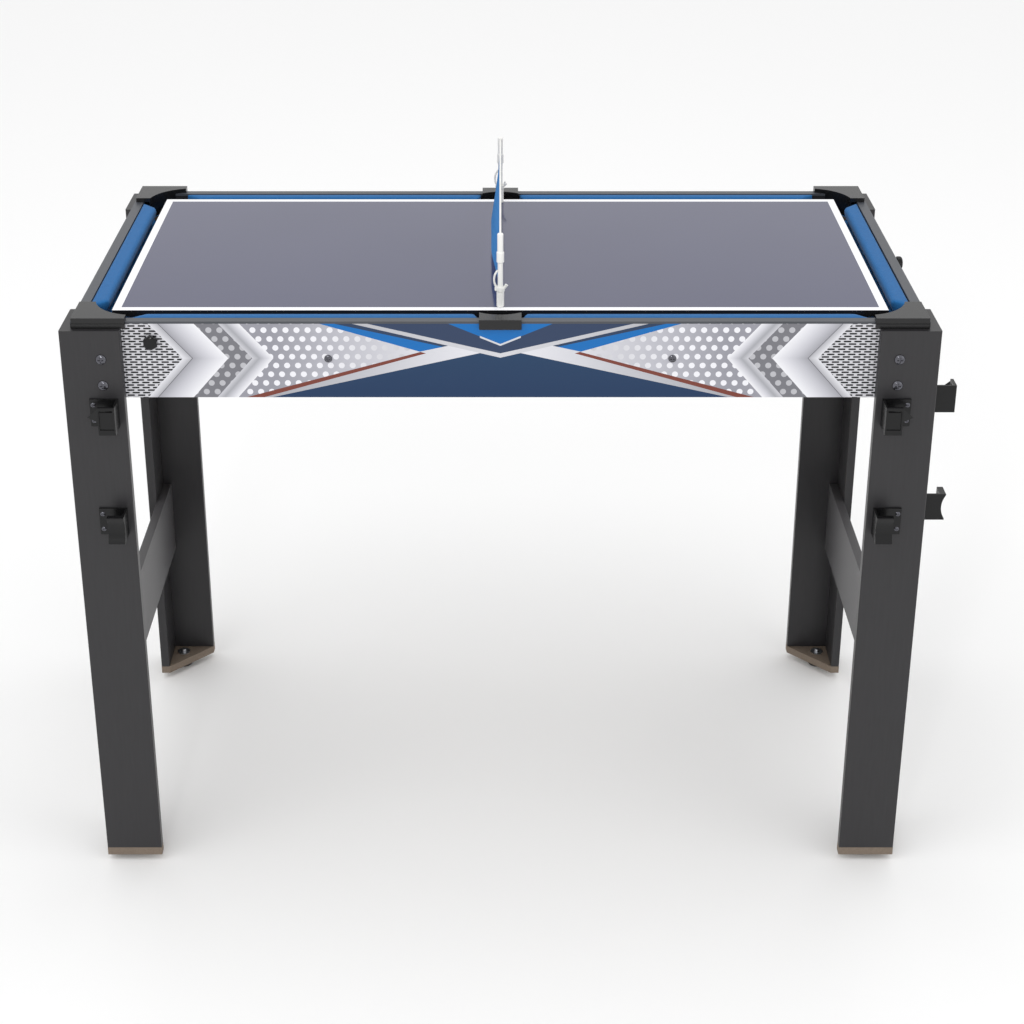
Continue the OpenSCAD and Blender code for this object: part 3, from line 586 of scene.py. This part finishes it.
def cross_head_screw(head_radius, head_height, shank_radius, shank_length):
    """A screw with its head's underside at the origin and its head towards +Z."""
    bpy.ops.object.select_all(action="DESELECT")
    bpy.ops.mesh.primitive_uv_sphere_add(segments=32, ring_count=16, radius=head_radius)
    screw = bpy.context.object
    bpy.ops.object.mode_set(mode="EDIT")
    bpy.ops.mesh.bisect(plane_co=(0, 0, 0), plane_no=(0, 0, 1), clear_inner=True, use_fill=True)
    bpy.ops.mesh.select_all(action="SELECT")
    bpy.ops.transform.resize(value=(1, 1, head_height / head_radius),
                             center_override=(0, 0, 0))
    bpy.ops.object.mode_set(mode="OBJECT")
    bpy.ops.object.select_all(action="DESELECT")
    for turn in (0, 90):
        bpy.ops.mesh.primitive_cube_add(size=1, location=(0, 0, head_height))
        slot = bpy.context.object
        bpy.ops.object.mode_set(mode="EDIT")
        across = (head_radius * 1.1, head_radius * 0.24)
        bpy.ops.transform.resize(
            value=(across[turn // 90], across[1 - turn // 90], head_height * 1.1),
            center_override=(0, 0, head_height))
        bpy.ops.object.mode_set(mode="OBJECT")
        cut = screw.modifiers.new("recess", "BOOLEAN")
        cut.object, cut.operation, cut.solver = slot, "DIFFERENCE", "EXACT"
        bpy.context.view_layer.objects.active = screw
        bpy.ops.object.modifier_apply(modifier=cut.name)
        bpy.data.objects.remove(slot)
    edit(screw)
    bpy.ops.mesh.select_all(action="DESELECT")
    bpy.ops.mesh.primitive_cylinder_add(
        vertices=24, radius=shank_radius, depth=shank_length,
        location=(0, 0, -shank_length / 2 + 0.0001))
    bpy.ops.object.mode_set(mode="OBJECT")
    bpy.ops.object.shade_smooth_by_angle(angle=math.radians(35))
    return screw


def set_of_screws(name, node, screw, places):
    """Copies of a screw, each at a place with its head facing outwards, as one piece."""
    mesh = bmesh.new()
    for place, outward in places:
        start = len(mesh.verts)
        mesh.from_mesh(screw.data)
        mesh.verts.ensure_lookup_table()
        turn = Vector(outward).to_track_quat("Z", "Y")
        for vertex in mesh.verts[start:]:
            vertex.co = turn @ vertex.co + Vector(place)
    data = bpy.data.meshes.new(name)
    mesh.to_mesh(data)
    piece = bpy.data.objects.new(name, data)
    bpy.context.collection.objects.link(piece)
    bpy.data.objects.remove(screw)
    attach(piece, BODY_OF[node])
    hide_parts(node)
    finish_with(black_steel, "black_steel", name)


face_low, face_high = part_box("front_left_face_board")[0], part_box("back_right_face_board")[1]
BOLT_INSET, BOLT_LEVELS = 0.051, (LEG_TOP - 0.039, LEG_TOP - 0.075)
places = []
for level in BOLT_LEVELS:
    for x in (face_low.x + BOLT_INSET, face_high.x - BOLT_INSET):
        places += [((x, face_low.y, level), (0, -1, 0)), ((x, face_high.y, level), (0, 1, 0))]
    for y in (face_low.y + BOLT_INSET, face_high.y - BOLT_INSET):
        places += [((face_low.x, y, level), (-1, 0, 0)), ((face_high.x, y, level), (1, 0, 0))]
set_of_screws("cross_head_leg_bolts", "leg_bolts",
              cross_head_screw(head_radius=0.007, head_height=0.0036, shank_radius=0.003,
                               shank_length=0.033), places)

APRON_SCREW_OUT, APRON_SCREW_LEVEL = 0.220, LEG_TOP - 0.043
places = []
for x in (MIDDLE.x - APRON_SCREW_OUT, MIDDLE.x + APRON_SCREW_OUT):
    places += [((x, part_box("front_apron")[0].y, APRON_SCREW_LEVEL), (0, -1, 0)),
               ((x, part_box("back_apron")[1].y, APRON_SCREW_LEVEL), (0, 1, 0))]
set_of_screws("cross_head_apron_screws", "apron_screws",
              cross_head_screw(head_radius=0.0052, head_height=0.0026, shank_radius=0.002,
                               shank_length=0.011), places)

PLATE, SCREW_IN, SCREW_LEVELS = 0.003, 0.0045, (0.008, 0.030)
UPPER_CLIP_FOOT, END_CLIP_RISE = LEG_TOP - 0.131, 0.008
clip_low, clip_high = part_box("front_clips")
end_low, end_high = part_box("end_clips")
places = []
for foot in (clip_low.z, UPPER_CLIP_FOOT):
    for rise in SCREW_LEVELS:
        for x in (clip_low.x + SCREW_IN, clip_high.x - SCREW_IN):
            places.append(((x, face_low.y - PLATE, foot + rise), (0, -1, 0)))
for foot in (end_low.z, UPPER_CLIP_FOOT + END_CLIP_RISE):
    for rise in SCREW_LEVELS:
        places.append(((face_high.x + PLATE, end_high.y - SCREW_IN, foot + rise), (1, 0, 0)))
set_of_screws("cross_head_clip_screws", "clip_screws",
              cross_head_screw(head_radius=0.0034, head_height=0.0016, shank_radius=0.0016,
                               shank_length=0.012), places)

# ---- Playing board ----
# A loose MDF board with a glossy navy-grey lacquer; a white border line is printed along its
# edges, and its side faces are near-black. The lacquer reflects sharply, with a very faint
# ripple.
board_low, board_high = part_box("playing_board")
BORDER = 0.0105
lacquer, tree, shader = new_material(
    "navy-grey lacquer on MDF, printed border", Roughness=0.13, Coat_Weight=0.12,
    Coat_Roughness=0.07)
spot = add_node(tree, "ShaderNodeTexCoord").outputs["Object"]
place = add_node(tree, "ShaderNodeSeparateXYZ", {0: spot})
inset = None
for axis, low, high in (("X", board_low.x, board_high.x), ("Y", board_low.y, board_high.y)):
    off = add_node(tree, "ShaderNodeMath", {0: place.outputs[axis], 1: (low + high) / 2},
                   operation="SUBTRACT").outputs[0]
    off = add_node(tree, "ShaderNodeMath", {0: off}, operation="ABSOLUTE").outputs[0]
    off = add_node(tree, "ShaderNodeMath", {0: (high - low) / 2, 1: off},
                   operation="SUBTRACT").outputs[0]
    inset = off if inset is None else add_node(
        tree, "ShaderNodeMath", {0: inset, 1: off}, operation="MINIMUM").outputs[0]
field = add_node(tree, "ShaderNodeMath", {0: inset, 1: BORDER},
                 operation="GREATER_THAN").outputs[0]
cloud = add_node(tree, "ShaderNodeTexNoise", {"Vector": spot, "Scale": 5.0, "Detail": 4.0})
ground = add_node(tree, "ShaderNodeMix", {
    "Factor": cloud.outputs[0], 6: linear("#323454"), 7: linear("#3a3c5b")},
    data_type="RGBA").outputs[2]
top = add_node(tree, "ShaderNodeMix", {"Factor": field, 6: linear("#f0f0f3"), 7: ground},
               data_type="RGBA").outputs[2]
facing = add_node(tree, "ShaderNodeSeparateXYZ", {
    0: add_node(tree, "ShaderNodeNewGeometry").outputs["Normal"]}).outputs["Z"]
upward = add_node(tree, "ShaderNodeMath", {0: facing, 1: 0.5},
                  operation="GREATER_THAN").outputs[0]
tone = add_node(tree, "ShaderNodeMix", {"Factor": upward, 6: linear("#1b1b1d"), 7: top},
                data_type="RGBA").outputs[2]
tree.links.new(tone, shader.inputs["Base Color"])
ripple = add_node(tree, "ShaderNodeTexNoise", {"Vector": spot, "Scale": 22.0, "Detail": 2.0})
bump = add_node(tree, "ShaderNodeBump", {
    "Strength": 0.03, "Distance": 0.001, "Height": ripple.outputs[0]})
tree.links.new(bump.outputs[0], shader.inputs["Normal"])
lacquered = merged_copy("playing_board", "lacquered_playing_board")
round_edges(lacquered, 0.0006)
finish_with(lacquer, "playing_surface", lacquered.name)

# ---- Cushions ----
# Rubber wedges under tight billiard cloth. The wedge is remeshed, blown up a little by cloth
# pressure, and held within a millimetre of the rubber, so it crowns as a covered cushion does.
CUSHIONS = ("front_left_cushion", "front_right_cushion", "back_left_cushion",
            "back_right_cushion", "left_cushion", "right_cushion")
VOXEL, CLOTH_GIVE, SHRINK, CLEAR = 0.0026, 0.0009, 0.0007, 0.0001
PRESSURE, FRAMES = 4, 12
cushion_cloth = billiard_cloth("blue billiard cloth over rubber", "#236aa6", "#16548a")
covered = []


def take_up(piece):
    """Goes through edit mode and back, so that Blender takes up the moved points."""
    edit(piece)
    bpy.ops.object.mode_set(mode="OBJECT")


for cushion in CUSHIONS:
    piece = merged_copy(cushion, "covered_" + cushion)
    edit(piece)
    bpy.ops.mesh.select_all(action="SELECT")
    bpy.ops.transform.shrink_fatten(value=-SHRINK)
    bpy.ops.object.mode_set(mode="OBJECT")
    remesh = piece.modifiers.new("even_skin", "REMESH")
    remesh.mode, remesh.voxel_size = "VOXEL", VOXEL
    bpy.ops.object.modifier_apply(modifier=remesh.name)
    soften = piece.modifiers.new("worn_corners", "SMOOTH")
    soften.factor, soften.iterations = 0.5, 2
    bpy.ops.object.modifier_apply(modifier=soften.name)
    covered.append((piece, [vertex.co.copy() for vertex in piece.data.vertices]))

for piece, _ in covered:
    cloth = piece.modifiers.new("tight_cloth", "CLOTH")
    cloth.settings.use_pressure = True
    cloth.settings.uniform_pressure_force = PRESSURE
    cloth.settings.effector_weights.gravity = 0
    cloth.point_cache.frame_start, cloth.point_cache.frame_end = 1, FRAMES
for number in range(1, FRAMES + 1):
    bpy.context.scene.frame_set(number)
for piece, rubber in covered:
    take_up(piece)
    bpy.ops.object.modifier_apply(modifier="tight_cloth")
    for vertex, core in zip(piece.data.vertices, rubber):
        pulled = vertex.co - core
        if pulled.length > CLOTH_GIVE:
            vertex.co = core + pulled * (CLOTH_GIVE / pulled.length)

for (piece, _), cushion in zip(covered, CUSHIONS):
    low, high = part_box(cushion)
    for vertex in piece.data.vertices:
        for axis in range(3):
            vertex.co[axis] = min(max(vertex.co[axis], low[axis] + CLEAR), high[axis] - CLEAR)
    take_up(piece)
    finer = piece.modifiers.new("finer", "SUBSURF")
    finer.levels = finer.render_levels = 1
    bpy.ops.object.modifier_apply(modifier=finer.name)
    bpy.ops.object.shade_smooth()
    finish_with(cushion_cloth, "cushion_cloth", piece.name)

# ---- Net ----
# A knotted nylon mesh hangs from a white cotton tape, which is stretched between the posts'
# sleeves. The mesh is held at its two ends, and its slack bellies out towards the bottom.
post_plastic = moulded_plastic("white ABS, moulded glossy", "#e4e4e1", "#efefec", 0.32, 800.0)
posts = merged_copy("net_posts", "turned_net_posts")
round_edges(posts, 0.0003)
finish_with(post_plastic, "post_plastic", posts.name)

tape_low, tape_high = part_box("net_tape")
mesh_low, mesh_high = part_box("net_mesh")
NET_MIDDLE = (tape_low + tape_high) / 2
NET_HALF, NET_FOOT = (mesh_high.y - mesh_low.y) / 2, mesh_low.z
NET_TOP = tape_low.z + 0.003
NET_BELLY, STRAND, RIPPLE = 0.0125, 0.0009, 0.0006
COLUMNS, ROWS = 93, 14
bpy.ops.object.select_all(action="DESELECT")
bpy.ops.mesh.primitive_grid_add(x_subdivisions=COLUMNS, y_subdivisions=ROWS, size=1)
net = bpy.context.object
net.name = "knotted_net"
for vertex in net.data.vertices:
    along, up = 2 * vertex.co.x, vertex.co.y + 0.5
    slack = (1 - along ** 2) * (1 - up) ** 0.7
    ripple = RIPPLE * math.sin(9 * along + 2.0) * (1 - up)
    vertex.co = (NET_MIDDLE.x - NET_BELLY * slack + ripple,
                 NET_MIDDLE.y + NET_HALF * along,
                 NET_FOOT + (NET_TOP - NET_FOOT) * up)
strands = net.modifiers.new("strands", "WIREFRAME")
strands.thickness, strands.use_even_offset, strands.use_boundary = STRAND, False, True
bpy.ops.object.modifier_apply(modifier=strands.name)
bpy.ops.object.shade_smooth()
# Half of the strands' skin faces each way, so half of it counts as cloth.
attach(net, "net_set")
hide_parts("net_mesh")

# Twisted nylon shows bands of light and shade, which are drawn 2 mm long so that they show.
net_nylon, tree, shader = new_material("blue nylon twine", Roughness=0.6,
                                       Specular_IOR_Level=0.3)
spot = add_node(tree, "ShaderNodeTexCoord").outputs["Object"]
twist = add_node(tree, "ShaderNodeTexWave", {"Vector": spot, "Scale": 300.0, "Distortion": 2.0},
                 bands_direction="DIAGONAL")
tone = add_node(tree, "ShaderNodeMix", {
    "Factor": twist.outputs[1], 6: linear("#256cb0"), 7: linear("#448dce")},
    data_type="RGBA").outputs[2]
tree.links.new(tone, shader.inputs["Base Color"])
finish_with(net_nylon, "net_mesh", net.name)

# The tape is a folded and stitched band of cotton, a little wavy along its edges.
bpy.ops.object.select_all(action="DESELECT")
bpy.ops.mesh.primitive_cube_add(size=1, location=(0, 0, 0))
tape = bpy.context.object
tape.name = "stitched_net_tape"
bpy.ops.object.mode_set(mode="EDIT")
size = tape_high - tape_low
bpy.ops.transform.resize(value=(size.x - 0.0004, size.y, size.z), center_override=(0, 0, 0))
TAPE_STEPS, STITCH_LINES = 70, (-0.30, -0.27, 0.27, 0.30)
for step in range(1, TAPE_STEPS):
    bpy.ops.mesh.select_all(action="SELECT")
    bpy.ops.mesh.bisect(plane_co=(0, size.y * (step / TAPE_STEPS - 0.5), 0),
                        plane_no=(0, 1, 0))
for level in STITCH_LINES:
    bpy.ops.mesh.select_all(action="SELECT")
    bpy.ops.mesh.bisect(plane_co=(0, 0, size.z * level), plane_no=(0, 0, 1))
bpy.ops.object.mode_set(mode="OBJECT")
round_edges(tape, 0.0009, segments=3)
SEAM, SEAM_REACH, SEAM_PINCH, EDGE_WAVE = 0.285, 0.06, 0.35, 0.0004
for vertex in tape.data.vertices:
    from_seam = abs(abs(vertex.co.z / size.z) - SEAM)
    vertex.co.x *= 1 - SEAM_PINCH * max(0.0, 1 - from_seam / SEAM_REACH)
    vertex.co.z += EDGE_WAVE * math.sin(vertex.co.y * 90.0)
    vertex.co += NET_MIDDLE
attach(tape, "net_set")
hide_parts("net_tape")

cotton, tree, shader = new_material("white cotton, woven tape", Roughness=0.9, Sheen_Weight=0.2)
spot = add_node(tree, "ShaderNodeTexCoord").outputs["Object"]
# Woven cotton is matt and slightly hairy. Its threads are drawn 2.4 mm apart, coarser than
# the real ones, so that they show.
warp = add_node(tree, "ShaderNodeTexWave", {"Vector": spot, "Scale": 130.0}, bands_direction="Y")
weft = add_node(tree, "ShaderNodeTexWave", {"Vector": spot, "Scale": 130.0}, bands_direction="Z")
weave = add_node(tree, "ShaderNodeMath", {0: warp.outputs[1], 1: weft.outputs[1]},
                 operation="MULTIPLY").outputs[0]
tone = add_node(tree, "ShaderNodeMix", {
    "Factor": weave, 6: linear("#dfdfdc"), 7: linear("#f6f6f3")}, data_type="RGBA").outputs[2]
tree.links.new(tone, shader.inputs["Base Color"])
bump = add_node(tree, "ShaderNodeBump", {"Strength": 0.4, "Distance": 0.0004, "Height": weave})
tree.links.new(bump.outputs[0], shader.inputs["Normal"])
finish_with(cotton, "white_tape", tape.name)

# ---- Net ties ----
# White string: three turns and a knot round the foot of each post, two cut ends, and a slack
# loop up to the lower corner of the net.
STRING, TURN_RADIUS, POST_OUT = 0.0014, 0.0045, 0.214
board_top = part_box("playing_board")[1].z
parts = []
for outward in (-1, 1):
    post = Vector((NET_MIDDLE.x, NET_MIDDLE.y + outward * POST_OUT, board_top))
    for rise, tilt in ((0.0226, 4), (0.0246, -3), (0.0265, 5)):
        bpy.ops.object.select_all(action="DESELECT")
        bpy.ops.mesh.primitive_torus_add(
            location=post + Vector((0, 0, rise)), rotation=(0, math.radians(tilt), 0),
            major_radius=TURN_RADIUS, minor_radius=STRING, major_segments=32, minor_segments=10)
        parts.append(bpy.context.object)
    # The loop, the knot and the two cut ends, in mm from the post's foot.
    for route in (((-3.4, 0, 49.5), (-6.4, 0, 46), (-8.4, 0.6, 38), (-7.2, 0.8, 30),
                   (-4.4, 0, 25)),
                  ((-5.6, -2.4, 23), (-6.4, 0, 25), (-5.6, 2.4, 27)),
                  ((4.4, -1, 24), (6.0, -2, 27.5), (7.2, -2.2, 31.5)),
                  ((4.4, 1, 25), (7.0, 1.2, 26.5), (8.8, 0.6, 29.5))):
        curve = bpy.data.curves.new("string", "CURVE")
        curve.dimensions, curve.bevel_depth, curve.bevel_resolution = "3D", STRING, 3
        curve.use_fill_caps = True
        spline = curve.splines.new("NURBS")
        spline.points.add(len(route) - 1)
        for point, (x, y, z) in zip(spline.points, route):
            point.co = (post.x + x / 1000, post.y - outward * y / 1000, post.z + z / 1000, 1)
        spline.use_endpoint_u, spline.order_u = True, 3
        strand = bpy.data.objects.new("string", curve)
        bpy.context.collection.objects.link(strand)
        select_only(strand)
        bpy.ops.object.convert(target="MESH")
        parts.append(bpy.context.object)
bpy.ops.object.select_all(action="DESELECT")
for part in parts:
    part.select_set(True)
bpy.context.view_layer.objects.active = parts[0]
bpy.ops.object.join()
ties = bpy.context.object
ties.name = "knotted_net_ties"
bpy.ops.object.transform_apply(location=True, rotation=True, scale=True)
bpy.ops.object.shade_smooth()
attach(ties, "net_set")
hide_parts("net_ties")
finish_with(cotton, "white_tape", ties.name)
